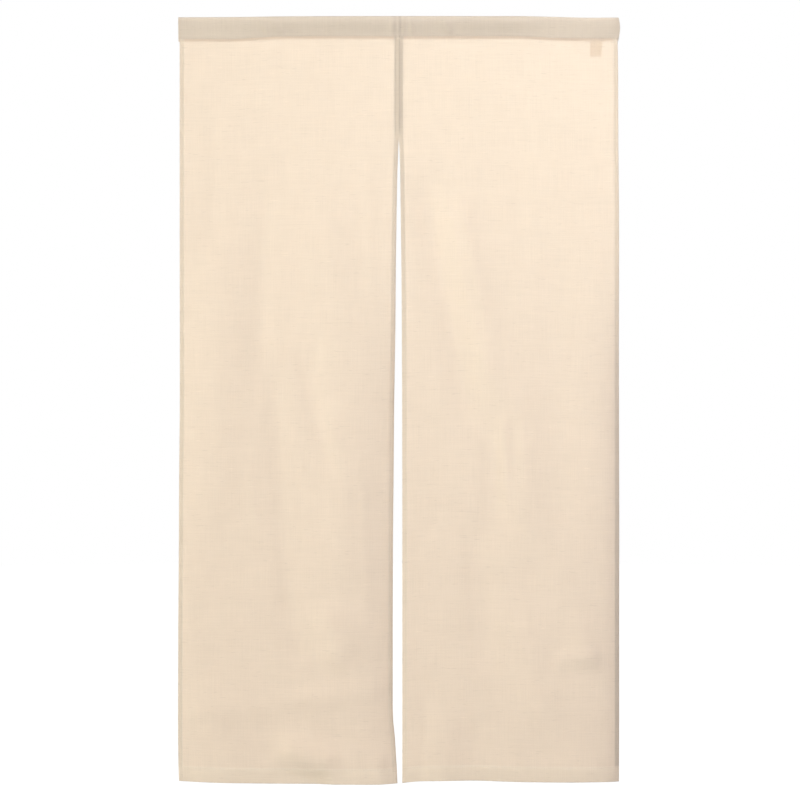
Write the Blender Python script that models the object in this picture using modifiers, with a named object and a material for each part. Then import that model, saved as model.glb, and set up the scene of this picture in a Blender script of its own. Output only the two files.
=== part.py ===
"""Noren curtain: two tall linen panels, joined by a seam at the top and slit below it, under a rod pocket.

Metres, +Z up. The origin is the middle of the top edge. The front faces -Y, and +X is to the right of it.
"""

from typing import Callable, NamedTuple

import bmesh
import bpy
import numpy as np

# Driving sizes of the curtain.
PANEL_WIDTH = 0.425
PANEL_DROP = 1.446
CLOTH = 0.0012
HEM_THICKNESS = 0.0022
SIDE_HEM = 0.009
BOTTOM_HEM = 0.030
HEM_STEP = 0.002
GAP = 0.0003

# The pocket's wall is a folded-over double layer at its foot, where the stitch line runs.
POCKET_WALL = 0.0012
POCKET_FOOT = 0.0034
POCKET_BULGE_AT = 0.66
POCKET_LEFT_END = -0.4272
POCKET_RIGHT_END = 0.4258
RIGHT_END_BULGE = 0.0030
END_REACH = 0.030

# The two panels meet along the centre seam, each this far from the middle.
SEAM_EDGE = GAP / 2.0

# The blank label that is caught in the stitch line behind the right panel.
LABEL_LEFT = 0.371
LABEL_WIDTH = 0.023
LABEL_HEIGHT = 0.032
LABEL_THICKNESS = 0.001

# How finely the cloth is divided.
PANEL_COLUMNS = 22
PANEL_ROWS = 40
POCKET_SEGMENTS = 22
POCKET_STATIONS = 26
LABEL_COLUMNS = 3
LABEL_ROWS = 3

COLLECTION = "noren curtain"


class Section(NamedTuple):
    """The panels' edges at one height."""

    height: float
    left_outer: float
    left_inner: float
    right_inner: float
    right_outer: float


SECTIONS = (
    Section(-0.040, -0.4248, -SEAM_EDGE, SEAM_EDGE, 0.4243),
    Section(-0.110, -0.4248, -SEAM_EDGE, SEAM_EDGE, 0.4254),
    Section(-0.236, -0.4248, -SEAM_EDGE, SEAM_EDGE, 0.4258),
    Section(-0.260, -0.4248, -0.0010, 0.0016, 0.4259),
    Section(-0.300, -0.4248, -0.0018, 0.0028, 0.4263),
    Section(-0.376, -0.4248, -0.0033, 0.0037, 0.4271),
    Section(-0.493, -0.4248, -0.0049, 0.0047, 0.4277),
    Section(-0.609, -0.4248, -0.0058, 0.0055, 0.4283),
    Section(-0.755, -0.4249, -0.0083, 0.0060, 0.4294),
    Section(-0.900, -0.4262, -0.0094, 0.0063, 0.4298),
    Section(-1.017, -0.4267, -0.0106, 0.0063, 0.4300),
    Section(-1.180, -0.4280, -0.0110, 0.0064, 0.4297),
    Section(-1.345, -0.4283, -0.0110, 0.0064, 0.4298),
    Section(-1.372, -0.4283, -0.0098, 0.0064, 0.4298),
    Section(-1.400, -0.4281, -0.0069, 0.0064, 0.4297),
    Section(-1.453, -0.4274, -0.0034, 0.0064, 0.4295),
    Section(-1.492, -0.4257, -0.0016, 0.0063, 0.4292),
)


class HemPoint(NamedTuple):
    """The height of a panel's lower edge at one place across it."""

    along: float
    height: float


HEMS = {
    "left": (
        HemPoint(-0.430, -1.4838),
        HemPoint(-0.376, -1.4860),
        HemPoint(-0.300, -1.4880),
        HemPoint(-0.200, -1.4895),
        HemPoint(-0.100, -1.4902),
        HemPoint(-0.030, -1.4905),
        HemPoint(0.000, -1.4898),
    ),
    "right": (
        HemPoint(0.005, -1.4886),
        HemPoint(0.020, -1.4862),
        HemPoint(0.036, -1.4849),
        HemPoint(0.058, -1.4841),
        HemPoint(0.103, -1.4834),
        HemPoint(0.150, -1.4836),
        HemPoint(0.200, -1.4850),
        HemPoint(0.260, -1.4864),
        HemPoint(0.340, -1.4871),
        HemPoint(0.400, -1.4876),
        HemPoint(0.430, -1.4886),
    ),
}


class Stretch(NamedTuple):
    """The heading at one place along its length: its top, its stitch line and how deep the pocket is."""

    along: float
    top: float
    stitch: float
    pocket_depth: float


STRETCHES = (
    Stretch(-0.430, -0.0022, -0.0476, 0.0124),
    Stretch(-0.370, -0.0020, -0.0477, 0.0124),
    Stretch(-0.310, -0.0018, -0.0475, 0.0128),
    Stretch(-0.250, -0.0008, -0.0434, 0.0168),
    Stretch(-0.160, -0.0002, -0.0424, 0.0180),
    Stretch(0.000, 0.0000, -0.0424, 0.0180),
    Stretch(0.160, -0.0001, -0.0424, 0.0180),
    Stretch(0.250, -0.0004, -0.0428, 0.0172),
    Stretch(0.305, -0.0020, -0.0457, 0.0130),
    Stretch(0.360, -0.0034, -0.0464, 0.0124),
    Stretch(0.430, -0.0031, -0.0464, 0.0124),
)


class Fold(NamedTuple):
    """A soft fold of the cloth: a trough where its depth is positive, a ridge where it is negative.

    Its middle line runs from one point to the other, and it fades out over fade beyond both.
    """

    name: str
    top_x: float
    top_z: float
    foot_x: float
    foot_z: float
    half_width: float
    depth: float
    fade: float


FOLDS = (
    Fold("left upper trough", -0.266, -0.340, -0.276, -0.660, 0.030, 0.0068, 0.090),
    Fold("left upper ridge", -0.150, -0.430, -0.128, -0.640, 0.048, -0.0061, 0.110),
    Fold("left side swell", -0.345, -0.520, -0.352, -0.900, 0.050, -0.0061, 0.150),
    Fold("left middle trough", -0.178, -0.700, -0.172, -0.860, 0.022, 0.0049, 0.070),
    Fold("left middle ridge", -0.118, -0.800, -0.112, -1.040, 0.040, -0.0054, 0.110),
    Fold("left low trough", -0.245, -0.770, -0.226, -1.080, 0.034, 0.0057, 0.110),
    Fold("left dent", -0.196, -1.170, -0.158, -1.250, 0.034, 0.0081, 0.045),
    Fold("left dent's lip", -0.178, -1.300, -0.160, -1.310, 0.044, -0.0057, 0.035),
    Fold("left hem crease", -0.262, -1.345, -0.118, -1.460, 0.026, -0.0070, 0.040),
    Fold("left hem trough", -0.196, -1.420, -0.130, -1.485, 0.024, 0.0054, 0.035),
    Fold("left hem swell", -0.350, -1.330, -0.340, -1.480, 0.060, -0.0054, 0.090),
    Fold("right long trough", 0.066, -0.380, 0.128, -0.730, 0.030, 0.0070, 0.110),
    Fold("right long ridge", 0.118, -0.410, 0.176, -0.680, 0.034, -0.0073, 0.110),
    Fold("right middle trough", 0.190, -0.840, 0.196, -0.960, 0.026, 0.0059, 0.080),
    Fold("right middle ridge", 0.226, -0.760, 0.244, -0.980, 0.038, -0.0057, 0.120),
    Fold("right low trough", 0.150, -1.040, 0.160, -1.230, 0.034, 0.0062, 0.090),
    Fold("right low ridge", 0.238, -1.210, 0.262, -1.340, 0.046, -0.0068, 0.090),
    Fold("right side ridge", 0.338, -1.180, 0.346, -1.260, 0.028, -0.0057, 0.070),
    Fold("right side trough", 0.310, -0.520, 0.318, -0.900, 0.040, 0.0043, 0.160),
    Fold("right hem ripple", 0.086, -1.380, 0.084, -1.490, 0.034, -0.0057, 0.070),
    Fold("right hem trough", 0.150, -1.400, 0.156, -1.490, 0.030, 0.0049, 0.060),
)


class Curl(NamedTuple):
    """A side edge that turns to the back between two heights, or to the front if its depth is negative."""

    panel: str
    at_inner_edge: bool
    top: float
    foot: float
    reach: float
    depth: float
    fade: float


CURLS = (
    Curl("left", True, -0.760, -1.340, 0.092, 0.0170, 0.300),
    Curl("left", False, -0.700, -1.300, 0.050, 0.0050, 0.300),
    Curl("right", False, -0.760, -1.420, 0.120, 0.0200, 0.420),
    Curl("right", True, -0.700, -1.300, 0.030, -0.0020, 0.250),
)

# A curl steepens towards its edge by this power.
CURL_SHARPNESS = 2.2

# The folds grow from nothing under the straight stitch line.
FOLDS_START = 0.015
FOLDS_FULL = 0.240


class Pucker(NamedTuple):
    """A soft slanting wrinkle in the pocket's face: it stands out where its depth is negative."""

    along: float
    slant: float
    half_width: float
    depth: float


PUCKERS = (
    Pucker(-0.398, 0.10, 0.014, -0.0005),
    Pucker(-0.262, -0.30, 0.012, 0.0009),
    Pucker(-0.236, -0.62, 0.009, -0.0012),
    Pucker(0.016, 0.10, 0.008, -0.0008),
    Pucker(0.084, 0.35, 0.010, -0.0009),
    Pucker(0.268, 0.30, 0.014, 0.0009),
    Pucker(0.372, -0.20, 0.015, -0.0006),
)


def smooth(t: np.ndarray | float) -> np.ndarray | float:
    """A soft step from 0 to 1 while t runs from 0 to 1."""
    t = np.clip(t, 0.0, 1.0)
    return t * t * (3.0 - 2.0 * t)


def rounded(at: float, places: np.ndarray, values: np.ndarray) -> float:
    """The value at a place on the smooth curve that passes through the table's values."""
    slopes = np.gradient(values, places)
    i = int(np.clip(np.searchsorted(places, at) - 1, 0, len(places) - 2))
    span = places[i + 1] - places[i]
    t = float(np.clip((at - places[i]) / span, 0.0, 1.0))
    start = (1.0 + 2.0 * t) * (1.0 - t) ** 2 * values[i] + t * (1.0 - t) ** 2 * span * slopes[i]
    end = t * t * (3.0 - 2.0 * t) * values[i + 1] - t * t * (1.0 - t) * span * slopes[i + 1]
    return float(start + end)


def column(rows: tuple, name: str) -> np.ndarray:
    """One column of a table."""
    return np.array([getattr(row, name) for row in rows])


def edge(side: str, z: float) -> float:
    """How far across one of the panels' edges lies at a height."""
    rows = SECTIONS[::-1]
    return float(np.interp(z, column(rows, "height"), column(rows, side)))


def heading_line(name: str, x: float) -> float:
    """One of the heading's table values at a place along it."""
    return rounded(x, column(STRETCHES, "along"), column(STRETCHES, name))


def hem_line(panel: str, x: float) -> float:
    """The height of a panel's lower edge."""
    return rounded(x, column(HEMS[panel], "along"), column(HEMS[panel], "height"))


def fade_in(z: float, top: float, foot: float, fade: float) -> float:
    """1 between two heights, and down to 0 over fade above and below them."""
    return float(smooth((top + fade - z) / fade) * smooth((z - foot + fade) / fade))


def fold_depth(fold: Fold, x: float, z: float) -> float:
    """How far one fold moves the cloth back at a point."""
    run = np.array([fold.foot_x - fold.top_x, fold.foot_z - fold.top_z])
    length = float(np.hypot(*run))
    away = np.array([x - fold.top_x, z - fold.top_z])
    along = float(away @ run) / length
    across = float(away[0] * run[1] - away[1] * run[0]) / length
    past_end = max(-along, along - length, 0.0)
    return fold.depth * np.exp(-((across / fold.half_width) ** 2)) * (1.0 - smooth(past_end / fold.fade))


def curl_depth(curl: Curl, panel: str, x: float, z: float) -> float:
    """How far a turned edge moves the cloth back at a point."""
    if curl.panel != panel:
        return 0.0
    side = edge(f"{panel}_{'inner' if curl.at_inner_edge else 'outer'}", z)
    closeness = float(np.clip(1.0 - abs(x - side) / curl.reach, 0.0, 1.0))
    return curl.depth * closeness**CURL_SHARPNESS * fade_in(z, curl.top, curl.foot, curl.fade)


def cloth_back(panel: str, x: float, z: float) -> float:
    """How far behind the stitch line's plane the cloth's front face lies at a point."""
    below = heading_line("stitch", x) - z
    growth = float(smooth((below - FOLDS_START) / (FOLDS_FULL - FOLDS_START)))
    folds = sum(fold_depth(fold, x, z) for fold in FOLDS)
    curls = sum(curl_depth(curl, panel, x, z) for curl in CURLS)
    return growth * float(folds + curls)


def divisions(length: float, count: int, first_hem: float, last_hem: float) -> np.ndarray:
    """Places along a length, evenly spread between its hems, with a narrow step beside each hem."""
    start = [0.0, first_hem, first_hem + HEM_STEP] if first_hem else [0.0]
    end = [length - last_hem - HEM_STEP, length - last_hem, length]
    middle = np.linspace(start[-1], end[0], count + 2 - len(start) - len(end) + 1)
    return np.concatenate([start, middle[1:-1], end]) / length


def new_object(name: str, mesh: bmesh.types.BMesh, material: bpy.types.Material) -> bpy.types.Object:
    """Turns finished geometry into a named object of the collection, shaded smooth."""
    data = bpy.data.meshes.new(name)
    mesh.to_mesh(data)
    mesh.free()
    data.shade_smooth()
    data.materials.append(material)
    piece = bpy.data.objects.new(name, data)
    bpy.data.collections[COLLECTION].objects.link(piece)
    return piece


def cloth_material(name: str, colour: tuple[float, float, float], roughness: float) -> bpy.types.Material:
    """A plain matt cloth."""
    material = bpy.data.materials.new(name)
    material.use_nodes = True
    shader = material.node_tree.nodes["Principled BSDF"]
    shader.inputs["Base Color"].default_value = (*colour, 1.0)
    shader.inputs["Roughness"].default_value = roughness
    shader.inputs["Metallic"].default_value = 0.0
    shader.inputs["Sheen Weight"].default_value = 0.2
    return material


def placed_grid(
    columns: int, rows: int, place: Callable[[int, int], tuple[float, float, float]]
) -> bmesh.types.BMesh:
    """A grid primitive, each of whose points goes where place puts that column and row."""
    mesh = bmesh.new()
    bmesh.ops.create_grid(mesh, x_segments=columns, y_segments=rows, size=0.5)
    for vertex in mesh.verts:
        i = round((vertex.co.x + 0.5) * columns)
        j = round((0.5 - vertex.co.y) * rows)
        vertex.co = place(i, j)
    return mesh


def thicken(piece: bpy.types.Object, thickness: float, side: float) -> bpy.types.Modifier:
    """Gives a surface its thickness, on the side that its faces look to where side is 1."""
    solid = piece.modifiers.new("thickness", "SOLIDIFY")
    solid.thickness = thickness
    solid.offset = side
    solid.use_even_offset = True
    return solid


def build_panel(panel: str, material: bpy.types.Material) -> bpy.types.Object:
    """One panel: a sheet that follows the outline and folds, thicker to the back along its hems."""
    across = divisions(PANEL_WIDTH, PANEL_COLUMNS, SIDE_HEM, SIDE_HEM)
    down = divisions(PANEL_DROP, PANEL_ROWS, 0.0, BOTTOM_HEM)

    def place(i: int, j: int) -> tuple[float, float, float]:
        """A point of the front face. The sides first give x, then the two ends give z."""
        z = heading_line("stitch", 0.0) - PANEL_DROP * float(down[j])
        for _ in range(2):
            outer, inner = edge(f"{panel}_outer", z), edge(f"{panel}_inner", z)
            left, right = (outer, inner) if panel == "left" else (inner, outer)
            x = left + (right - left) * float(across[i])
            top = heading_line("stitch", x) - GAP
            z = top + (hem_line(panel, x) - top) * float(down[j])
        return x, cloth_back(panel, x, z) - CLOTH / 2.0, z

    mesh = placed_grid(len(across) - 1, len(down) - 1, place)
    piece = new_object(f"panel_{panel}", mesh, material)
    hems = piece.vertex_groups.new(name="hems")
    stitched = [
        vertex.index
        for vertex in piece.data.vertices
        if in_hem(panel, vertex.co.x, vertex.co.z)
    ]
    hems.add(stitched, 1.0, "REPLACE")
    solid = thicken(piece, HEM_THICKNESS, 1.0)
    solid.vertex_group = hems.name
    solid.thickness_vertex_group = CLOTH / HEM_THICKNESS
    return piece


def in_hem(panel: str, x: float, z: float) -> bool:
    """Whether a point of a panel lies on one of its hems."""
    slack = HEM_STEP / 4.0
    to_side = min(abs(x - edge(f"{panel}_outer", z)), abs(x - edge(f"{panel}_inner", z)))
    return to_side < SIDE_HEM + slack or z - hem_line(panel, x) < BOTTOM_HEM + slack


def pocket_outline(rise: float, height: float, half_depth: float) -> tuple[float, float]:
    """Half-depth and height over the foot on the pocket's drop shape, for a rise from 0 at the foot to 1."""
    foot_depth = POCKET_FOOT / 2.0
    if rise < POCKET_BULGE_AT:
        share = rise / POCKET_BULGE_AT
        return foot_depth + (half_depth - foot_depth) * float(smooth(share)), (height - half_depth) * share
    angle = 0.5 * np.pi * (rise - POCKET_BULGE_AT) / (1.0 - POCKET_BULGE_AT)
    return half_depth * float(np.cos(angle)), height - half_depth * (1.0 - float(np.sin(angle)))


def pucker_depth(x: float, over_middle: float) -> float:
    """How far the pocket's puckers press its face in at a place along it and over its middle height."""
    total = 0.0
    for pucker in PUCKERS:
        across = (x - pucker.along - pucker.slant * over_middle) / pucker.half_width
        total += pucker.depth * float(np.exp(-(across**2)))
    return total


def build_heading(panel: str, material: bpy.types.Material) -> bpy.types.Object:
    """Half of the rod pocket: a drop-shaped sleeve, open at both ends, narrow at its stitched foot."""
    left, right = (POCKET_LEFT_END, -SEAM_EDGE) if panel == "left" else (SEAM_EDGE, POCKET_RIGHT_END)

    def place(i: int, j: int) -> tuple[float, float, float]:
        """A point of the outer face: i goes round the section from its foot, j goes along the pocket."""
        x = left + (right - left) * j / POCKET_STATIONS
        foot, half_depth = heading_line("stitch", x), heading_line("pocket_depth", x) / 2.0
        height = heading_line("top", x) - foot
        turn = i / POCKET_SEGMENTS
        depth, level = pocket_outline(2.0 * min(turn, 1.0 - turn), height, half_depth)
        face = float(np.sin(np.pi * np.clip(level / height, 0.0, 1.0)))
        depth -= face * pucker_depth(x, level - height / 2.0)
        closeness = float(smooth(1.0 - (POCKET_RIGHT_END - x) / END_REACH))
        bulge = RIGHT_END_BULGE * closeness * face
        return x + bulge, depth if turn > 0.5 else -depth, foot + level

    mesh = placed_grid(POCKET_SEGMENTS, POCKET_STATIONS, place)
    bmesh.ops.remove_doubles(mesh, verts=mesh.verts, dist=1e-6)
    bmesh.ops.recalc_face_normals(mesh, faces=mesh.faces)
    piece = new_object(f"heading_{panel}", mesh, material)
    thicken(piece, POCKET_WALL, -1.0)
    return piece


def build_label(material: bpy.types.Material) -> bpy.types.Object:
    """The blank label, hanging from the stitch line close behind the right panel."""

    def place(i: int, j: int) -> tuple[float, float, float]:
        """A point of the label's front face."""
        x = LABEL_LEFT + LABEL_WIDTH * i / LABEL_COLUMNS
        z = heading_line("stitch", x) - GAP - LABEL_HEIGHT * j / LABEL_ROWS
        return x, cloth_back("right", x, z) + CLOTH / 2.0 + GAP, z

    piece = new_object("care_label", placed_grid(LABEL_COLUMNS, LABEL_ROWS, place), material)
    thicken(piece, LABEL_THICKNESS, 1.0)
    return piece


def main() -> None:
    """Clears the scene and builds every piece of the curtain."""
    for old in list(bpy.data.objects):
        bpy.data.objects.remove(old)
    bpy.context.scene.collection.children.link(bpy.data.collections.new(COLLECTION))
    linen = cloth_material("linen", (0.84, 0.70, 0.55), 0.85)
    folded_linen = cloth_material("folded linen", (0.69, 0.60, 0.48), 0.85)
    tape = cloth_material("label tape", (0.86, 0.82, 0.74), 0.7)
    for panel in ("left", "right"):
        build_panel(panel, linen)
        build_heading(panel, folded_linen)
    build_label(tape)


main()
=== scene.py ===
"""Noren curtain: two tall linen panels under a rod pocket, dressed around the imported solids.

Metres, +Z up. The origin is the middle of the top edge. The front faces -Y, and +X is to the right of it.
"""

import logging
from dataclasses import dataclass
from enum import Enum
from typing import NamedTuple

import bpy
import numpy as np
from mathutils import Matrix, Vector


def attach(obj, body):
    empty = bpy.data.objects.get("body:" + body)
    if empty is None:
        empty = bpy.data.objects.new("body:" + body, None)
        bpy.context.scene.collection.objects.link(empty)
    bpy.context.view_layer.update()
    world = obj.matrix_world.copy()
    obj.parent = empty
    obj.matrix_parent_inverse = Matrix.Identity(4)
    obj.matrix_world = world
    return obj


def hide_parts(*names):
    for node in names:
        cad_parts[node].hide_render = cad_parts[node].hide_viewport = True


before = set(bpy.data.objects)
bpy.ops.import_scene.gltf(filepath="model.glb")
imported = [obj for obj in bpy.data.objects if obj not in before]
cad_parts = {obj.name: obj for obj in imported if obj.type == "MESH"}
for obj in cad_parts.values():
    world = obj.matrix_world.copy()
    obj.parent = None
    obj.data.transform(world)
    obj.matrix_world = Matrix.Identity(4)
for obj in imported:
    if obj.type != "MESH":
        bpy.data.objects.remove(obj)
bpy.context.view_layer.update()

LOG = logging.getLogger("noren")

# Sizes that the solids have too.
PANEL_WIDTH = 0.425
FRONT_FACE = -0.0006
GAP = 0.0003
SEAM_EDGE = GAP / 2.0
SIDE_HEM = 0.009
BOTTOM_HEM = 0.030
POCKET_LEFT_END = -0.4272
POCKET_RIGHT_END = 0.4258
RIGHT_END_BULGE = 0.0030
END_REACH = 0.030
CURL_SHARPNESS = 2.2
FOLDS_START = 0.015
FOLDS_FULL = 0.240
JOINED_DOWN_TO = -0.236

# The cloth, and how its turned layers lie on each other. A panel's top edge is tucked in behind the heading.
TUCKED_IN = 0.0040
BELOW_HEADING = 1.446
PANEL_DROP = BELOW_HEADING + TUCKED_IN
CLOTH = 0.00042
SIDE_TURN = 0.00025
BOTTOM_TURN = 0.00080
STITCH_ROW = 0.0040
FROM_HEM_EDGE = 0.0024
HEM_STEP = 0.0012
# How much closer the small waves lie on the pocket than on the panels.
POCKET_WAVES = 1.1
# The angle in degrees from which a sheet's edge is sharp, and the fine places from which a spread is summed.
RIM_ANGLE = 55.0
FINE_PLACES = 4000


class Side(Enum):
    """Which half of the curtain a piece belongs to."""

    LEFT = "left"
    RIGHT = "right"


class Face(Enum):
    """Which face of the cloth a row of stitches lies on, as the direction that it looks along Y."""

    FRONT = -1.0
    BACK = 1.0


class Section(NamedTuple):
    """The panels' edges at one height."""

    height: float
    left_outer: float
    left_inner: float
    right_inner: float
    right_outer: float


SECTIONS = (
    Section(-0.040, -0.4248, -SEAM_EDGE, SEAM_EDGE, 0.4243),
    Section(-0.110, -0.4248, -SEAM_EDGE, SEAM_EDGE, 0.4254),
    Section(-0.236, -0.4248, -SEAM_EDGE, SEAM_EDGE, 0.4258),
    Section(-0.260, -0.4248, -0.0010, 0.0016, 0.4259),
    Section(-0.300, -0.4248, -0.0027, 0.0028, 0.4263),
    Section(-0.376, -0.4248, -0.0042, 0.0037, 0.4271),
    Section(-0.493, -0.4248, -0.0058, 0.0053, 0.4277),
    Section(-0.609, -0.4248, -0.0067, 0.0061, 0.4283),
    Section(-0.755, -0.4249, -0.0092, 0.0066, 0.4294),
    Section(-0.900, -0.4262, -0.0103, 0.0069, 0.4298),
    Section(-1.017, -0.4267, -0.0115, 0.0069, 0.4300),
    Section(-1.180, -0.4280, -0.0119, 0.0070, 0.4297),
    Section(-1.345, -0.4283, -0.0119, 0.0070, 0.4298),
    Section(-1.372, -0.4283, -0.0107, 0.0070, 0.4298),
    Section(-1.400, -0.4281, -0.0078, 0.0070, 0.4297),
    Section(-1.453, -0.4274, -0.0043, 0.0070, 0.4295),
    Section(-1.492, -0.4257, -0.0025, 0.0069, 0.4292),
)


class HemPoint(NamedTuple):
    """The height of a panel's lower edge at one place across it."""

    along: float
    height: float


HEMS = {
    Side.LEFT: (
        HemPoint(-0.430, -1.4838), HemPoint(-0.376, -1.4860), HemPoint(-0.300, -1.4880),
        HemPoint(-0.200, -1.4895), HemPoint(-0.100, -1.4902), HemPoint(-0.030, -1.4905),
        HemPoint(0.000, -1.4898),
    ),
    Side.RIGHT: (
        HemPoint(0.005, -1.4886), HemPoint(0.020, -1.4862), HemPoint(0.036, -1.4849),
        HemPoint(0.058, -1.4841), HemPoint(0.103, -1.4834), HemPoint(0.150, -1.4836),
        HemPoint(0.200, -1.4850), HemPoint(0.260, -1.4864), HemPoint(0.340, -1.4871),
        HemPoint(0.400, -1.4876), HemPoint(0.430, -1.4886),
    ),
}


class Stretch(NamedTuple):
    """The heading at one place along its length: its top, its foot and how deep the pocket is."""

    along: float
    top: float
    foot: float
    pocket_depth: float


STRETCHES = (
    Stretch(-0.430, -0.0027, -0.0476, 0.0124),
    Stretch(-0.370, -0.0025, -0.0477, 0.0124),
    Stretch(-0.310, -0.0022, -0.0475, 0.0128),
    Stretch(-0.250, -0.0012, -0.0434, 0.0168),
    Stretch(-0.160, -0.0006, -0.0424, 0.0180),
    Stretch(0.000, -0.0003, -0.0424, 0.0180),
    Stretch(0.160, -0.0004, -0.0424, 0.0180),
    Stretch(0.250, -0.0006, -0.0428, 0.0172),
    Stretch(0.305, -0.0020, -0.0457, 0.0130),
    Stretch(0.360, -0.0034, -0.0464, 0.0124),
    Stretch(0.430, -0.0031, -0.0464, 0.0124),
)


class Fold(NamedTuple):
    """A soft fold or crease: a trough where its depth is positive, a ridge where it is negative.

    Its middle line runs from one point to the other, and it fades out over fade beyond both.
    """

    top_x: float
    top_z: float
    foot_x: float
    foot_z: float
    half_width: float
    depth: float
    fade: float


# The main folds, which the solids have too.
FOLDS = (
    Fold(-0.257, -0.370, -0.272, -0.660, 0.022, 0.0027, 0.080),
    Fold(-0.138, -0.430, -0.116, -0.640, 0.046, -0.0052, 0.110),
    Fold(-0.345, -0.520, -0.352, -0.900, 0.050, -0.0061, 0.150),
    Fold(-0.176, -0.700, -0.138, -0.865, 0.019, 0.0032, 0.070),
    Fold(-0.118, -0.800, -0.112, -1.040, 0.040, -0.0054, 0.110),
    Fold(-0.240, -0.740, -0.217, -1.080, 0.023, 0.0040, 0.110),
    Fold(-0.208, -1.150, -0.194, -1.235, 0.030, 0.0042, 0.040),
    Fold(-0.168, -1.330, -0.150, -1.340, 0.040, -0.0020, 0.035),
    Fold(-0.199, -1.428, -0.145, -1.441, 0.031, -0.0108, 0.052),
    Fold(-0.221, -1.465, -0.157, -1.494, 0.024, 0.0034, 0.035),
    Fold(-0.094, -1.436, -0.040, -1.447, 0.022, -0.0040, 0.030),
    Fold(-0.122, -1.494, -0.040, -1.494, 0.034, -0.0062, 0.040),
    Fold(-0.350, -1.330, -0.340, -1.480, 0.060, -0.0054, 0.090),
    Fold(0.066, -0.380, 0.128, -0.730, 0.030, 0.0070, 0.110),
    Fold(0.118, -0.410, 0.176, -0.680, 0.034, -0.0073, 0.110),
    Fold(0.180, -0.840, 0.186, -0.960, 0.026, 0.0042, 0.080),
    Fold(0.226, -0.760, 0.244, -0.980, 0.038, -0.0057, 0.120),
    Fold(0.158, -1.030, 0.170, -1.220, 0.027, 0.0040, 0.080),
    Fold(0.248, -1.210, 0.270, -1.340, 0.044, -0.0064, 0.090),
    Fold(0.354, -1.190, 0.362, -1.240, 0.027, -0.0038, 0.040),
    Fold(0.310, -0.520, 0.318, -0.900, 0.040, 0.0043, 0.160),
    Fold(0.086, -1.380, 0.084, -1.490, 0.034, -0.0040, 0.070),
    Fold(0.150, -1.400, 0.156, -1.490, 0.030, 0.0036, 0.060),
)

# Finer creases, which the solids leave out.
CREASES = (
    Fold(-0.222, -0.180, -0.216, -0.330, 0.012, 0.0009, 0.060),
    Fold(-0.060, -0.300, -0.052, -0.520, 0.014, -0.0010, 0.080),
    Fold(-0.352, -0.160, -0.362, -0.420, 0.016, 0.0010, 0.080),
    Fold(-0.158, -0.640, -0.160, -0.680, 0.012, 0.0022, 0.025),
    Fold(-0.288, -0.880, -0.276, -0.990, 0.012, -0.0012, 0.050),
    Fold(-0.200, -0.870, -0.188, -1.010, 0.010, 0.0010, 0.050),
    Fold(-0.070, -0.900, -0.062, -1.120, 0.014, -0.0011, 0.070),
    Fold(-0.134, -1.172, -0.120, -1.238, 0.031, -0.0066, 0.050),
    Fold(-0.100, -1.175, -0.094, -1.222, 0.034, -0.0024, 0.040),
    Fold(-0.236, -1.252, -0.180, -1.250, 0.018, -0.0018, 0.020),
    Fold(-0.386, -1.353, -0.056, -1.310, 0.020, -0.0026, 0.040),
    Fold(-0.330, -1.300, -0.322, -1.400, 0.014, 0.0009, 0.050),
    Fold(0.052, -0.140, 0.060, -0.260, 0.012, -0.0009, 0.050),
    Fold(0.100, -0.330, 0.148, -0.560, 0.012, 0.0013, 0.070),
    Fold(0.084, -0.420, 0.120, -0.620, 0.010, -0.0011, 0.070),
    Fold(0.230, -0.230, 0.238, -0.460, 0.014, 0.0009, 0.080),
    Fold(0.223, -0.800, 0.226, -0.885, 0.012, 0.0024, 0.035),
    Fold(0.203, -0.800, 0.208, -0.930, 0.012, -0.0024, 0.045),
    Fold(0.134, -1.000, 0.146, -1.210, 0.012, 0.0012, 0.060),
    Fold(0.300, -1.000, 0.306, -1.160, 0.016, -0.0010, 0.070),
    Fold(0.318, -1.248, 0.376, -1.243, 0.017, -0.0038, 0.020),
    Fold(0.052, -1.290, 0.048, -1.460, 0.013, 0.0012, 0.050),
    Fold(0.226, -1.370, 0.236, -1.480, 0.016, -0.0010, 0.050),
)


class Curl(NamedTuple):
    """A side edge that turns to the back between two heights, or to the front if its depth is negative."""

    side: Side
    at_inner_edge: bool
    top: float
    foot: float
    reach: float
    depth: float
    fade: float


# The main curls, as the solids have them.
CURLS = (
    Curl(Side.LEFT, True, -0.760, -1.340, 0.092, 0.0170, 0.300),
    Curl(Side.LEFT, False, -0.700, -1.300, 0.050, 0.0050, 0.300),
    Curl(Side.RIGHT, False, -0.760, -1.420, 0.120, 0.0200, 0.420),
    Curl(Side.RIGHT, True, -0.700, -1.300, 0.030, -0.0020, 0.250),
)

# What sewing and handling do to the rims: the seam stands up a little, and the loose edges turn.
RIMS = (
    Curl(Side.LEFT, True, 0.000, -0.212, 0.0036, -0.0010, 0.024),
    Curl(Side.RIGHT, True, 0.000, -0.212, 0.0036, -0.0004, 0.024),
    Curl(Side.RIGHT, True, 0.000, -0.200, 0.0120, -0.0005, 0.050),
    Curl(Side.LEFT, True, -0.250, -1.500, 0.0056, 0.0014, 0.024),
    Curl(Side.RIGHT, True, -0.700, -1.500, 0.0150, 0.0030, 0.400),
    Curl(Side.RIGHT, False, 0.000, -0.520, 0.0130, -0.0013, 0.400),
    Curl(Side.RIGHT, False, 0.000, -1.500, 0.0024, 0.0013, 0.100),
    Curl(Side.RIGHT, False, -0.800, -1.500, 0.0360, 0.0074, 0.350),
)


class Shade(NamedTuple):
    """A soft line at some distance from the seam: painted shade where its tone is below 0, for the light that
    the seam's layers and edges hold back, and painted light where it is above 0.
    """

    at: float
    half_width: float
    tone: float


# Painted shade along the joined seam: narrow dark lines and broader dark bands beside it.
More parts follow.
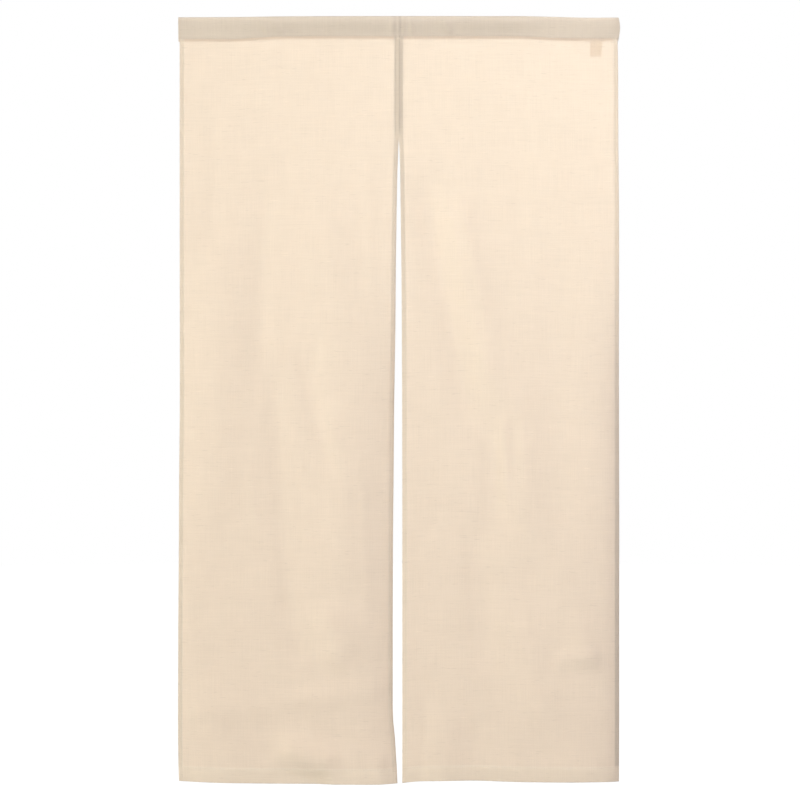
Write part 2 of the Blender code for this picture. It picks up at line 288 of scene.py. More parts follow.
PANEL_SHADES = {
    Side.LEFT: (Shade(0.0062, 0.0011, -0.055), Shade(0.0040, 0.0048, -0.050)),
    Side.RIGHT: (Shade(0.0010, 0.0013, -0.070), Shade(0.0020, 0.0062, -0.060)),
}
# Painted highlights and shadows on the pocket: light and dark lines beside the seam, a broad painted light
# towards the right end, and a dark line along that end.
HEADING_SHADES = {
    Side.LEFT: (Shade(0.0028, 0.0012, 0.040), Shade(0.0074, 0.0026, -0.030), Shade(0.0170, 0.0046, 0.032)),
    Side.RIGHT: (
        Shade(0.0024, 0.0017, -0.075),
        Shade(0.0070, 0.0020, 0.020),
        Shade(0.0200, 0.0040, 0.035),
        Shade(0.3250, 0.0700, 0.026),
        Shade(0.4250, 0.0016, -0.060),
    ),
}
# Painted light and shade on the hems: how much paler than the cloth they are painted, darker below 0, at the
# foot, and at the top and foot of each side.
FOOT_HEM_PAINTED_LIGHT = 0.060
SIDE_HEM_PAINTED_SHADING = {
    Side.LEFT: ((0.030, 0.000), (0.000, 0.010)),
    Side.RIGHT: ((-0.010, 0.060), (0.045, -0.090)),
}


class Tack(NamedTuple):
    """The few threads that close the seam under the heading, which show as a pale spot."""

    from_seam: float
    down: float
    half_width: float
    half_height: float
    tone: float


TACK = Tack(0.0012, 0.0052, 0.0016, 0.0022, 0.130)


class Pucker(NamedTuple):
    """A soft slanting wrinkle in the pocket's face: it stands out where its depth is negative."""

    along: float
    slant: float
    half_width: float
    depth: float


PUCKERS = (
    Pucker(-0.398, 0.10, 0.014, -0.0005),
    Pucker(-0.258, -0.25, 0.007, -0.0020),
    Pucker(-0.236, -0.62, 0.009, -0.0020),
    Pucker(-0.013, -0.05, 0.0060, -0.0016),
    Pucker(0.000, 0.00, 0.0032, -0.0012),
    Pucker(0.011, 0.00, 0.0036, -0.0011),
    Pucker(0.025, -0.20, 0.0055, -0.0020),
    Pucker(0.043, 0.05, 0.0036, -0.0010),
    Pucker(0.095, -0.33, 0.0085, -0.0032),
    Pucker(0.268, 0.30, 0.014, 0.0009),
    Pucker(0.372, -0.20, 0.015, -0.0006),
    Pucker(-0.340, 0.15, 0.006, 0.0003),
    Pucker(-0.182, -0.25, 0.006, -0.0003),
    Pucker(-0.118, 0.20, 0.007, 0.0003),
    Pucker(-0.052, -0.10, 0.005, -0.0004),
    Pucker(0.132, 0.30, 0.006, -0.0003),
    Pucker(0.196, -0.15, 0.007, 0.0003),
    Pucker(0.318, 0.20, 0.006, -0.0003),
)


class Ripple(NamedTuple):
    """One of the small waves that sewing draws into the cloth beside a row of stitches."""

    length: float
    shift: float
    height: float


RIPPLES = (
    Ripple(0.0117, 0.4, 0.00010),
    Ripple(0.0193, 1.9, 0.00014),
    Ripple(0.0341, 4.1, 0.00018),
)


def column(rows: tuple, name: str) -> np.ndarray:
    """The column of that name, from a table's rows."""
    return np.array([getattr(row, name) for row in rows])


def smooth(t: np.ndarray) -> np.ndarray:
    """A soft step from 0 to 1: 3 t squared less 2 t cubed, with t held from 0 to 1."""
    t = np.clip(t, 0.0, 1.0)
    return t * t * (3.0 - 2.0 * t)


def bell(distance: np.ndarray, half_width: float) -> np.ndarray:
    """A bell curve: e to the power of minus the square of the distance over the half width."""
    return np.exp(-((distance / half_width) ** 2))


def rounded(at: np.ndarray, places: np.ndarray, values: np.ndarray) -> np.ndarray:
    """A smooth curve through a table: a cubic between each two rows, with the slopes that np.gradient gives.

    Args:
        at: the places asked for.
        places: the table's places, rising.
        values: the table's values.

    Returns:
        The curve's value at each place.
    """
    slopes = np.gradient(values, places)
    i = np.clip(np.searchsorted(places, at) - 1, 0, len(places) - 2)
    span = places[i + 1] - places[i]
    t = np.clip((at - places[i]) / span, 0.0, 1.0)
    start = (1.0 + 2.0 * t) * (1.0 - t) ** 2 * values[i] + t * (1.0 - t) ** 2 * span * slopes[i]
    end = t * t * (3.0 - 2.0 * t) * values[i + 1] - t * t * (1.0 - t) * span * slopes[i + 1]
    return start + end


def heading_line(name: str, x: np.ndarray) -> np.ndarray:
    """One of the heading's values, by the name of its column, at places along it."""
    return rounded(x, column(STRETCHES, "along"), column(STRETCHES, name))


def shaded(shades: tuple, distance: np.ndarray) -> np.ndarray:
    """The tone at distances from the seam: the sum of each soft line's tone times a bell curve."""
    return sum(shade.tone * bell(distance - shade.at, shade.half_width) for shade in shades)


def ripple(at: np.ndarray) -> np.ndarray:
    """The small waves beside a seam, summed up: height times the sine of the place over the wave's length."""
    return sum(wave.height * np.sin(2.0 * np.pi * at / wave.length + wave.shift) for wave in RIPPLES)


@dataclass(frozen=True)
class HangingShape:
    """How one half of the curtain hangs: its outline and its folds."""

    side: Side

    def edge(self, name: str, z: np.ndarray) -> np.ndarray:
        """Where the inner or outer edge lies across at some heights, straight between the table's rows."""
        rows = SECTIONS[::-1]
        return np.interp(z, column(rows, "height"), column(rows, f"{self.side.value}_{name}"))

    def hem(self, x: np.ndarray) -> np.ndarray:
        """The height of the lower edge at places across, on a smooth curve through its table."""
        rows = HEMS[self.side]
        return rounded(x, column(rows, "along"), column(rows, "height"))

    def fold_depth(self, fold: Fold, x: np.ndarray, z: np.ndarray) -> np.ndarray:
        """A fold's depth times a bell curve of the distance across it, faded beyond its ends.

        Args:
            fold: the fold.
            x: places across.
            z: heights.

        Returns:
            How far the fold moves the cloth back.
        """
        run_x, run_z = fold.foot_x - fold.top_x, fold.foot_z - fold.top_z
        length = np.hypot(run_x, run_z)
        along = ((x - fold.top_x) * run_x + (z - fold.top_z) * run_z) / length
        across = ((x - fold.top_x) * run_z - (z - fold.top_z) * run_x) / length
        past_end = np.maximum(np.maximum(-along, along - length), 0.0)
        return fold.depth * bell(across, fold.half_width) * (1.0 - smooth(past_end / fold.fade))

    def curl_depth(self, curl: Curl, x: np.ndarray, z: np.ndarray) -> np.ndarray:
        """A curl's depth times a power of the closeness to its edge, faded above and below it.

        Args:
            curl: the curl.
            x: places across.
            z: heights.

        Returns:
            How far the curl moves the cloth back.
        """
        edge = self.edge("inner" if curl.at_inner_edge else "outer", z)
        closeness = np.clip(1.0 - np.abs(x - edge) / curl.reach, 0.0, 1.0)
        fade_in = smooth((curl.top + curl.fade - z) / curl.fade)
        fade_out = smooth((z - curl.foot + curl.fade) / curl.fade)
        return curl.depth * closeness**CURL_SHARPNESS * fade_in * fade_out

    def back(self, x: np.ndarray, z: np.ndarray) -> np.ndarray:
        """How far back the cloth hangs: the rims, and the folds and curls that grow under the heading.

        Args:
            x: places across.
            z: heights.

        Returns:
            The depth behind the plane of the stitch line.
        """
        growth = smooth((heading_line("foot", x) - z - FOLDS_START) / (FOLDS_FULL - FOLDS_START))
        folds = sum(self.fold_depth(fold, x, z) for fold in FOLDS + CREASES)
        curls = sum(self.curl_depth(curl, x, z) for curl in CURLS if curl.side is self.side)
        rims = sum(self.curl_depth(rim, x, z) for rim in RIMS if rim.side is self.side)
        return growth * (folds + curls) + rims

    def place(self, across: np.ndarray, down: np.ndarray) -> tuple[np.ndarray, np.ndarray]:
        """Puts distances from the panel's left edge and from its top into the hanging outline.

        The share across lies between the two edges at that height, and the share down between the heading's
        foot and the hem at that place. Two passes settle both.

        Args:
            across: distance from the left edge, from 0 to the panel's width.
            down: distance from the top, from 0 to the panel's drop.

        Returns:
            The place across and the height.
        """
        share_across, share_down = across / PANEL_WIDTH, down / PANEL_DROP
        z = heading_line("foot", np.zeros_like(down)) + TUCKED_IN - down
        for _ in range(2):
            edges = self.edge("outer", z), self.edge("inner", z)
            left, right = edges if self.side is Side.LEFT else edges[::-1]
            x = left + (right - left) * share_across
            top = heading_line("foot", x) + TUCKED_IN
            z = top + (self.hem(x) - top) * share_down
        return x, z


class Turned(NamedTuple):
    """A strip of cloth seen end on, with a hem turned to the back at one or both ends.

    flat is the distance along the cloth, along is where that lies, back is how far behind the front layer it
    is, and the two normal columns are the direction from the cloth to its inner side.
    """

    flat: np.ndarray
    along: np.ndarray
    back: np.ndarray
    normal_along: np.ndarray
    normal_back: np.ndarray


def joined(*parts: Turned) -> Turned:
    """One strip of parts that follow each other, joined column by column."""
    return Turned(*(np.concatenate(columns) for columns in zip(*parts)))


def straight(places: np.ndarray) -> Turned:
    """A strip's front layer at some places along it."""
    none = np.zeros_like(places)
    return Turned(places, places, none, none, none + 1.0)


def half_turn(radius: float, count: int) -> tuple[np.ndarray, np.ndarray, np.ndarray]:
    """Half a circle that turns back: its angles, the radius by their sine, and by 1 less their cosine."""
    angle = np.linspace(0.0, np.pi, count)
    return angle, radius * np.sin(angle), radius - radius * np.cos(angle)


def end_hem(length: float, hem: float, radius: float, turn_count: int, hem_places: tuple) -> Turned:
    """The turned end of a strip: half a circle past length less radius, then straight back over the strip.

    Args:
        length: where the fold's outermost line lies.
        hem: how much cloth is turned over.
        radius: the fold's radius.
        turn_count: how many places round the fold.
        hem_places: shares of the hem's straight part, rising from above 0 to 1.

    Returns:
        The strip's end, from the start of the fold to the cut edge.
    """
    start, turn = length - radius, np.pi * radius
    angle, past, back = half_turn(radius, turn_count)
    over = np.array(hem_places) * (hem - turn)
    none = np.zeros_like(over)
    return joined(
        Turned(start + angle * radius, start + past, back, -np.sin(angle), np.cos(angle)),
        Turned(start + turn + over, start - over, none + 2.0 * radius, none, none - 1.0),
    )


def both_hems(length: float, middle: np.ndarray, end: Turned) -> Turned:
    """A strip with the same turned hem at both ends.

    Args:
        length: the distance between the two folds' outermost lines.
        middle: places of the front layer, between the two folds.
        end: the turned hem at the far end.

    Returns:
        The whole strip, from one cut edge to the other.
    """
    flat, along, back, normal_along, normal_back = (values[::-1] for values in end)
    start = Turned(length - flat, length - along, back, -normal_along, normal_back)
    return joined(start, straight(middle), end)


def spread(start: float, end: float, count: int, marks: tuple, reach: float, closer: float) -> np.ndarray:
    """Places between two ends, closer together near some marks.

    Their density is 1 plus closer times a bell curve round each mark, summed up along the way.

    Args:
        start: the first place.
        end: the last place.
        count: how many places.
        marks: where they are closer together.
        reach: the bell curves' half width.
        closer: how much denser they are at a mark.

    Returns:
        The places, rising.
    """
    fine = np.linspace(start, end, FINE_PLACES)
    density = 1.0 + closer * sum(bell(fine - mark, reach) for mark in marks)
    total = np.concatenate([[0.0], np.cumsum((density[1:] + density[:-1]) / 2.0)])
    return np.interp(np.linspace(0.0, total[-1], count), total, fine)


def in_hem(hem: float, from_edge: np.ndarray) -> np.ndarray:
    """Whether cloth lies in a hem: a soft step from 0 to 1 round the hem's own width."""
    return smooth((hem - from_edge) / HEM_STEP + 0.5)


def mesh_object(
    name: str, points: np.ndarray, faces: list, flat: np.ndarray, sharp: float
) -> bpy.types.Object:
    """A mesh from finished arrays, shaded smooth up to an angle, with its flat places as a UV map.

    Args:
        name: the object's name.
        points: one row a vertex.
        faces: arrays of faces, each with one row a face, wound to look outwards.
        flat: one row a vertex, the UV map's two values in metres.
        sharp: the angle in radians from which an edge is sharp.

    Returns:
        The object, linked to the scene.
    """
    data = bpy.data.meshes.new(name)
    data.from_pydata(points.tolist(), [], [face for group in faces for face in group.tolist()])
    corner = np.empty(len(data.loops), np.int32)
    data.loops.foreach_get("vertex_index", corner)
    layer = data.uv_layers.new(name="flat")
    layer.uv.foreach_set("vector", flat[corner].astype(np.float32).ravel())
    data.shade_smooth()
    data.set_sharp_from_angle(angle=sharp)
    data.update()
    piece = bpy.data.objects.new(name, data)
    bpy.context.scene.collection.objects.link(piece)
    return piece


def cloth_object(
    name: str, middle: np.ndarray, flat: np.ndarray, sewn: np.ndarray, thickness: float
) -> bpy.types.Object:
    """A closed sheet round a surface: two layers half its thickness off the surface, joined along the rim.

    Args:
        name: the object's name.
        middle: the surface, as rows and columns of points.
        flat: the cloth's flat place at each point, in metres.
        sewn: how far the cloth is doubled at each point, from 0 to 1, and the painted light and shade that
            tone it there.
        thickness: the cloth's thickness.

    Returns:
        The object.
    """
    rows, columns = middle.shape[:2]
    normal = np.cross(np.gradient(middle, axis=0), np.gradient(middle, axis=1))
    normal /= np.linalg.norm(normal, axis=2, keepdims=True)
    layers = [middle + side * thickness / 2.0 * normal for side in (1.0, -1.0)]
    points = np.concatenate([layer.reshape(-1, 3) for layer in layers])
    index = np.arange(rows * columns).reshape(rows, columns)
    front = np.stack([index[:-1, :-1], index[1:, :-1], index[1:, 1:], index[:-1, 1:]], axis=-1).reshape(-1, 4)
    rim = np.concatenate([index[:-1, 0], index[-1, :-1], index[:0:-1, -1], index[0, :0:-1]])
    ahead = np.roll(rim, -1)
    other = rows * columns
    band = np.stack([ahead, rim, rim + other, ahead + other], axis=-1)
    faces = [front, front[:, ::-1] + other, band]
    piece = mesh_object(name, points, faces, np.tile(flat.reshape(-1, 2), (2, 1)), np.radians(RIM_ANGLE))
    # The attribute carries the doubling and the painted light and shade.
    marks = np.zeros((len(points), 3), np.float32)
    marks[:, :2] = np.tile(sewn.reshape(-1, 2), (2, 1))
    piece.data.attributes.new("sewn", "FLOAT_VECTOR", "POINT").data.foreach_set("vector", marks.ravel())
    return piece


class Wiring:
    """Adds nodes to one tree. Each input is fed by another node's socket or set to a value."""

    def __init__(self, tree: bpy.types.NodeTree) -> None:
        """Keeps the tree."""
        self.tree = tree

    def feed(self, node: bpy.types.Node, inputs: dict) -> None:
        """Links or sets some inputs of a node.

        Args:
            node: the node.
            inputs: what each input gets, by the input's name or number.
        """
        for key, value in inputs.items():
            if isinstance(value, bpy.types.NodeSocket):
                self.tree.links.new(value, node.inputs[key])
            else:
                node.inputs[key].default_value = value

    def add(self, kind: str, inputs: dict, **settings: object) -> bpy.types.Node:
        """A new node.

        Args:
            kind: its type, less the leading ShaderNode.
            inputs: what each of its inputs gets.
            settings: its other properties.

        Returns:
            The node.
        """
        node = self.tree.nodes.new(f"ShaderNode{kind}")
        for name, value in settings.items():
            setattr(node, name, value)
        self.feed(node, inputs)
        return node

    def math(self, operation: str, *values: object) -> bpy.types.NodeSocket:
        """The output of a Math node that is given a socket or a number for each of its inputs."""
        return self.add("Math", dict(enumerate(values)), operation=operation).outputs[0]

    def tinted(self, colour: object, tone: bpy.types.NodeSocket) -> bpy.types.NodeSocket:
        """A colour, or what a socket gives as one, times a tone."""
        return self.add("VectorMath", {0: colour, "Scale": tone}, operation="SCALE").outputs[0]


def wired_material(name: str) -> tuple[bpy.types.Material, Wiring, bpy.types.Node]:
    """A new material that has its shader and its output.

    Args:
        name: its name.

    Returns:
        The material, the wiring of its tree, and its shader.
    """
    material = bpy.data.materials.new(name)
    material.use_nodes = True
    return material, Wiring(material.node_tree), material.node_tree.nodes["Principled BSDF"]


class Grain(NamedTuple):
    """Noise stretched along the cloth: its features in a metre each way, its octaves and its start."""

    across: float
    down: float
    detail: float
    start: float


class Weave(Wiring):
    """The shared node group for woven cloth, from flat places in metres to a tone and a height."""

    NAME = "linen weave"
    WARP = Grain(900.0, 14.0, 2.0, 3.1)
    WEFT = Grain(16.0, 900.0, 2.0, 7.7)
    SLUBS = Grain(52.0, 460.0, 1.0, 11.3)
    SLUB_RISE = (0.66, 0.78)
    PALE_SLUBS = Grain(46.0, 430.0, 1.0, 23.9)
    PALE_RISE = (0.69, 0.80)
    PALE_SHARE = 0.8
    CLOUDS = Grain(34.0, 26.0, 2.0, 17.5)
    NOISE_ROUGHNESS = 0.55
    # The shares of the unevenness, the crossing, the slubs and the clouds in the tone.
    TONES = (0.10, 0.02, 0.072, 0.045)
    # The shares of the crossing, the unevenness and the slubs in the height.
    HEIGHTS = (0.35, 0.7, 0.6)

    def __init__(self) -> None:
        """Builds the group's sockets and nodes."""
        super().__init__(bpy.data.node_groups.new(self.NAME, "ShaderNodeTree"))
        sockets = [("Flat", "INPUT", "NodeSocketVector")]
        amounts = ("Threads", "Unevenness", "Slubs", "Clouds")
        sockets += [(name, "INPUT", "NodeSocketFloat") for name in amounts]
        sockets += [(name, "OUTPUT", "NodeSocketFloat") for name in ("Tone", "Height")]
        for name, in_out, socket_type in sockets:
            self.tree.interface.new_socket(name, in_out=in_out, socket_type=socket_type)
        self.given = self.tree.nodes.new("NodeGroupInput").outputs
        self._build()

    def _noise(self, grain: Grain) -> bpy.types.NodeSocket:
        """A grain's noise.

        Args:
            grain: the grain.

        Returns:
            The noise, about a half on average.
        """
        start = tuple(grain.start * share for share in (1.0, 0.7, 0.3))
        place = {"Vector": self.given["Flat"], "Scale": (grain.across, grain.down, 1.0), "Location": start}
        vector = self.add("Mapping", place).outputs["Vector"]
        noise = {"Vector": vector, "Scale": 1.0, "Detail": grain.detail, "Roughness": self.NOISE_ROUGHNESS}
        return self.add("TexNoise", noise).outputs["Fac"]

    def _knots(self, grain: Grain, rise: tuple[float, float]) -> bpy.types.NodeSocket:
        """Where a grain's noise is high: 0 below the first value of the rise, 1 above the second."""
        inputs = {"Value": self._noise(grain), "From Min": rise[0], "From Max": rise[1]}
        return self.add("MapRange", inputs, interpolation_type="SMOOTHSTEP").outputs["Result"]

    def _sum(self, start: float, values: tuple, weights: tuple) -> bpy.types.NodeSocket:
        """A start, and values that are each taken times a weight.

        Args:
            start: the start.
            values: the values' sockets.
            weights: a weight for each.

        Returns:
            The sum.
        """
        total = start
        for value, weight in zip(values, weights):
            total = self.math("MULTIPLY_ADD", value, weight, total)
        return total

    def _build(self) -> None:
        """The threads' crossing and unevenness, the slubs and the clouds, as tone and as height."""
        given, math = self.given, self.math
        parts = self.add("SeparateXYZ", {0: given["Flat"]}).outputs
        turns = math("MULTIPLY", given["Threads"], np.pi)
        crossing = math("MULTIPLY", *(math("SINE", math("MULTIPLY", parts[axis], turns)) for axis in (0, 1)))
        threads = math("SUBTRACT", math("ADD", self._noise(self.WARP), self._noise(self.WEFT)), 1.0)
        uneven = math("MULTIPLY", threads, given["Unevenness"])
        dark = self._knots(self.SLUBS, self.SLUB_RISE)
        pale = math("MULTIPLY", self._knots(self.PALE_SLUBS, self.PALE_RISE), self.PALE_SHARE)
        knots = math("MULTIPLY", math("SUBTRACT", pale, dark), given["Slubs"])
        haze = math("MULTIPLY", math("SUBTRACT", self._noise(self.CLOUDS), 0.5), given["Clouds"])
        tone = self._sum(1.0, (uneven, crossing, knots, haze), self.TONES)
        height = self._sum(0.5, (crossing, uneven, math("ABSOLUTE", knots)), self.HEIGHTS)
        self.feed(self.tree.nodes.new("NodeGroupOutput"), {"Tone": tone, "Height": height})


@dataclass(frozen=True)
class ClothFinish:
    """A woven finish: its colours, how much light it lets through, and how strongly its weave shows."""

    name: str
    colour: tuple[float, float, float]
    doubled_colour: tuple[float, float, float]
    passed_colour: tuple[float, float, float]
    through: float
    roughness: float = 0.9
    specular: float = 0.2
    sheen: float = 0.08
    threads: float = 1700.0
    unevenness: float = 1.0
    slubs: float = 1.0
    clouds: float = 1.0
    relief: float = 0.00012
    bump_strength: float = 0.6

    def material(self, weave: Weave) -> bpy.types.Material:
        """The cloth's material: a matt and a light-passing shader, both toned and roughened by the weave.

        Where the cloth is doubled, the matt colour nears the doubled one, and the painted light and shade that
        the mesh carries add their tone.

        Args:
            weave: the shared node group.

        Returns:
            The material.
        """
        material, wiring, matt = wired_material(self.name)
        woven = {
            "Flat": wiring.add("UVMap", {}, uv_map="flat").outputs["UV"],
            "Threads": self.threads,
            "Unevenness": self.unevenness,
            "Slubs": self.slubs,
            "Clouds": self.clouds,
        }
        group = wiring.add("Group", woven, node_tree=weave.tree)
        relief = {"Strength": self.bump_strength, "Distance": self.relief, "Height": group.outputs["Height"]}
        normal = wiring.add("Bump", relief).outputs["Normal"]
        sewn = wiring.add("Attribute", {}, attribute_name="sewn").outputs["Vector"]
        marks = wiring.add("SeparateXYZ", {0: sewn}).outputs
        # The weave's tone plus the painted light and shade from the mesh.
        tone = wiring.math("ADD", group.outputs["Tone"], marks["Y"])
        mixer = wiring.add("Mix", {"Factor": marks["X"]}, data_type="VECTOR")
        single, doubled = [socket for socket in mixer.inputs if socket.type == "VECTOR"][-2:]
        single.default_value, doubled.default_value = self.colour, self.doubled_colour
        mixed = next(socket for socket in mixer.outputs if socket.type == "VECTOR")
        surface = {
            "Base Color": wiring.tinted(mixed, tone),
            "Roughness": self.roughness,
            "Specular IOR Level": self.specular,
            "Sheen Weight": self.sheen,
            "Normal": normal,
        }
        wiring.feed(matt, surface)
        passed = wiring.tinted(self.passed_colour, tone)
        glow = wiring.add("BsdfTranslucent", {"Color": passed, "Normal": normal})
        both = wiring.add("MixShader", {"Fac": self.through, 1: matt.outputs[0], 2: glow.outputs[0]})
        wiring.feed(material.node_tree.nodes["Material Output"], {"Surface": both.outputs[0]})
        return material


@dataclass(frozen=True)
class ThreadFinish:
    """Sewing thread: two plies twisted together, seen as slanting stripes along each stitch."""

    name: str
    colour: tuple[float, float, float]
    twists: float = 2400.0
    darkest: float = 0.82
    roughness: float = 0.7
    relief: float = 0.00004
    bump_strength: float = 0.5

    def material(self) -> bpy.types.Material:
        """The thread's material.

        Returns:
            The material.
        """
        material, wiring, shader = wired_material(self.name)
        flat = wiring.add("UVMap", {}, uv_map="flat").outputs["UV"]
        along = wiring.add("Mapping", {"Vector": flat, "Scale": (self.twists, 1.0, 1.0)}).outputs["Vector"]
        plies = {"Vector": along, "Scale": 1.0}
        wave = wiring.add("TexWave", plies, bands_direction="DIAGONAL").outputs["Fac"]
        shades = {"Value": wave, "To Min": self.darkest, "To Max": 1.0}
        tinted = wiring.tinted(self.colour, wiring.add("MapRange", shades).outputs["Result"])
        relief = {"Strength": self.bump_strength, "Distance": self.relief, "Height": wave}
        normal = wiring.add("Bump", relief).outputs["Normal"]
        surface = {"Base Color": tinted, "Roughness": self.roughness, "Normal": normal}
        wiring.feed(shader, surface)
        return material


@dataclass
class Panel:
    """One length of cloth, with its side hems and bottom hem turned to the back."""

    side: Side
    # How many places there are across, down and round the turned edges, and where they crowd.
    columns: int = 128
    rows: int = 270
    side_turn_places: int = 7
    foot_turn_places: int = 9
    near_stitches: float = 0.004
    near_heading: float = 0.020
    closer_across: float = 5.0
    closer_down: float = 2.0
    rim: float = 0.0015
    raw_end: tuple = (0.25, 0.5, 0.75, 0.92, 0.98, 1.0)
    joined_length: float = 0.197
    # What the stitches do to the cloth: small waves along the hems and the heading, and a dent under each row.
    hem_waves_reach: float = 0.012
    foot_waves_start: float = 0.4
    heading_waves_reach: float = 0.016
    heading_waves: tuple[float, float] = (1.3, 0.2)
    side_dent: float = 0.00022
    side_dent_reach: float = 0.0014
    foot_dent: float = 0.00030
    foot_dent_reach: float = 0.0022
    # Where the right panel's weave starts, so that the two panels differ.
    right_weave_start: tuple[float, float] = (0.61, 0.37)

    def __post_init__(self) -> None:
        """Sets out the cloth across and down, before it hangs."""
        self.shape = HangingShape(self.side)
        sides = end_hem(PANEL_WIDTH, SIDE_HEM, SIDE_TURN, self.side_turn_places, self.raw_end)
        marks = (
            self.rim,
            SIDE_HEM - FROM_HEM_EDGE,
            PANEL_WIDTH - SIDE_HEM + FROM_HEM_EDGE,
            PANEL_WIDTH - self.rim,
        )
        far = PANEL_WIDTH - SIDE_TURN
        middle = spread(SIDE_TURN, far, self.columns, marks, self.near_stitches, self.closer_across)
        self.across = both_hems(PANEL_WIDTH, middle[1:-1], sides)
        foot = end_hem(PANEL_DROP, BOTTOM_HEM, BOTTOM_TURN, self.foot_turn_places, self.raw_end)
        marks = (0.0, PANEL_DROP - BOTTOM_HEM)
        far = PANEL_DROP - BOTTOM_TURN
        front = spread(0.0, far, self.rows, marks, self.near_heading, self.closer_down)[:-1]
        self.down = joined(straight(front), foot)

    def surface(self, across: np.ndarray, down: np.ndarray, behind: np.ndarray) -> np.ndarray:
        """Points of the hanging cloth.

        Each is put into the outline, then moved back by the folds there, by the layer that it is in, and by
        the dents and small waves that the stitches draw along the hems and under the heading.

        Args:
            across: distance from the left edge.
            down: distance from the top.
            behind: how far behind the front layer's middle it lies.

        Returns:
            The points.
        """
        x, z = self.shape.place(across, down)
        to_side = np.minimum(across, PANEL_WIDTH - across)
        to_foot = PANEL_DROP - down
        beside = bell(to_side - SIDE_HEM, self.hem_waves_reach) * ripple(down)
        above = bell(to_foot - BOTTOM_HEM, self.hem_waves_reach) * ripple(across + self.foot_waves_start)
        stretch, start = self.heading_waves
        below = np.exp(-down / self.heading_waves_reach) * ripple(x * stretch + start)
        dent = self.side_dent * bell(to_side - SIDE_HEM + FROM_HEM_EDGE, self.side_dent_reach)
        dent += self.foot_dent * bell(to_foot - BOTTOM_HEM + FROM_HEM_EDGE, self.foot_dent_reach)
        y = self.shape.back(x, z) + FRONT_FACE + CLOTH / 2.0 + behind + beside + above + below + dent
        return np.stack([x, y, z], axis=-1)

    def sewn(self, across: np.ndarray, down: np.ndarray) -> np.ndarray:
        """Where the cloth is doubled, and the painted light and shade on the hems and along the seam.

        Args:
            across: distance from the left edge.
            down: distance from the top.

        Returns:
            Both values at each point.
        """
        in_foot = in_hem(BOTTOM_HEM, PANEL_DROP - down)
        # Painted light and shade on the hems and along the joined seam; the tack adds its pale spot.
        doubled, tone = in_foot, FOOT_HEM_PAINTED_LIGHT * in_foot
        for from_edge, (top, foot) in zip((across, PANEL_WIDTH - across), SIDE_HEM_PAINTED_SHADING[self.side]):
            in_side = in_hem(SIDE_HEM, from_edge)
            doubled = np.maximum(doubled, in_side)
            tone = tone + in_side * (1.0 - in_foot) * (top + (foot - top) * smooth(down / PANEL_DROP))
        from_seam = PANEL_WIDTH - across if self.side is Side.LEFT else across
        joined_there = smooth((self.joined_length - down) / self.near_heading)
        near_tack = bell(from_seam - TACK.from_seam, TACK.half_width)
        near_tack = near_tack * bell(down - TACK.down, TACK.half_height)
        tone = tone + joined_there * shaded(PANEL_SHADES[self.side], from_seam) + TACK.tone * near_tack
        return np.stack([doubled, tone], axis=-1)

    def build(self, material: bpy.types.Material) -> bpy.types.Object:
        """The panel's closed mesh, with each layer's place given by both hems' turns.

        Args:
            material: the cloth's material.

        Returns:
            The panel.
        """
        layer = self.across.back[None, :]
        down = self.down.along[:, None] + layer * self.down.normal_along[:, None]
        behind = self.down.back[:, None] + layer * self.down.normal_back[:, None]
        across = np.broadcast_to(self.across.along[None, :], down.shape)
        flat = np.stack(np.broadcast_arrays(self.across.flat[None, :], -self.down.flat[:, None]), axis=-1)
        if self.side is Side.RIGHT:
            flat = flat + np.array(self.right_weave_start)
        points, sewn = self.surface(across, down, behind), self.sewn(across, down)
        piece = cloth_object(f"panel_{self.side.value}_cloth", points, flat, sewn, CLOTH)
        piece.data.materials.append(material)
        return piece

    def declare(self, piece: bpy.types.Object, sewn: bpy.types.Object) -> None:
        """Hangs the panel on the root body and hides the solid that it replaces.

        Args:
            piece: the panel.
            sewn: the stitches on it; not used.
        """
        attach(piece, "root")
        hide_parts(f"panel_{self.side.value}")


